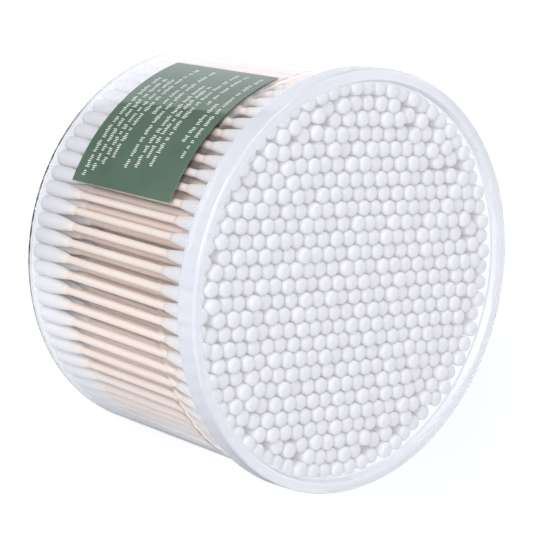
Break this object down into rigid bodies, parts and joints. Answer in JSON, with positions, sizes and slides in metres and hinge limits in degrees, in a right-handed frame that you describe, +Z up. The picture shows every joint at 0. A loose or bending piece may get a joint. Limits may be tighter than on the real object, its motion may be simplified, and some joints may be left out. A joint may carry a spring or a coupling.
{
  "type": "cotton swab tub",
  "caption": "Clear round plastic tub packed with standing wooden cotton swabs, with a clear push-on lid and a green label on its wall.",
  "frame": {"origin": "centre of the tub's foot, on the surface that it stands on", "axes": "+Z up along the tub's axis towards the lid, +X to the picture's right across the lid, +Y to the picture's top across the lid; the label is on the -X +Y side"},
  "size_m": [0.1204, 0.1204, 0.0781],
  "materials": {
    "clear_tub": "clear moulded plastic",
    "clear_lid": "clear moulded plastic",
    "green_label": "gloss printed film",
    "stick_wood": "plain bamboo or birch",
    "cotton": "wound cotton wool"
  },
  "bodies": {
    "tub_body": {"cotton_heads_lower_01": "cotton", "cotton_heads_lower_02": "cotton", "cotton_heads_lower_03": "cotton", "cotton_heads_lower_04": "cotton", "cotton_heads_lower_05": "cotton", "cotton_heads_lower_06": "cotton", "cotton_heads_lower_07": "cotton", "cotton_heads_lower_08": "cotton", "cotton_heads_lower_09": "cotton", "cotton_heads_lower_10": "cotton", "cotton_heads_lower_11": "cotton", "cotton_heads_lower_12": "cotton", "cotton_heads_lower_13": "cotton", "cotton_heads_lower_14": "cotton", "cotton_heads_lower_15": "cotton", "cotton_heads_lower_16": "cotton", "cotton_heads_lower_17": "cotton", "cotton_heads_lower_18": "cotton", "cotton_heads_lower_19": "cotton", "cotton_heads_upper_01": "cotton", "cotton_heads_upper_02": "cotton", "cotton_heads_upper_03": "cotton", "cotton_heads_upper_04": "cotton", "cotton_heads_upper_05": "cotton", "cotton_heads_upper_06": "cotton", "cotton_heads_upper_07": "cotton", "cotton_heads_upper_08": "cotton", "cotton_heads_upper_09": "cotton", "cotton_heads_upper_10": "cotton", "cotton_heads_upper_11": "cotton", "cotton_heads_upper_12": "cotton", "cotton_heads_upper_13": "cotton", "cotton_heads_upper_14": "cotton", "cotton_heads_upper_15": "cotton", "cotton_heads_upper_16": "cotton", "cotton_heads_upper_17": "cotton", "cotton_heads_upper_18": "cotton", "cotton_heads_upper_19": "cotton", "label": "green_label", "swab_sticks_01": "stick_wood", "swab_sticks_02": "stick_wood", "swab_sticks_03": "stick_wood", "swab_sticks_04": "stick_wood", "swab_sticks_05": "stick_wood", "swab_sticks_06": "stick_wood", "swab_sticks_07": "stick_wood", "swab_sticks_08": "stick_wood", "swab_sticks_09": "stick_wood", "swab_sticks_10": "stick_wood", "swab_sticks_11": "stick_wood", "swab_sticks_12": "stick_wood", "swab_sticks_13": "stick_wood", "swab_sticks_14": "stick_wood", "swab_sticks_15": "stick_wood", "swab_sticks_16": "stick_wood", "swab_sticks_17": "stick_wood", "swab_sticks_18": "stick_wood", "swab_sticks_19": "stick_wood", "tub": "clear_tub"},
    "lid_body": {"lid": "clear_lid"}
  },
  "joints": [
    {"name": "lid_lift", "type": "slide", "parent": "tub_body", "child": "lid_body", "axis": [0, 0, 1], "range_m": [0, 0.04]}
  ]
}
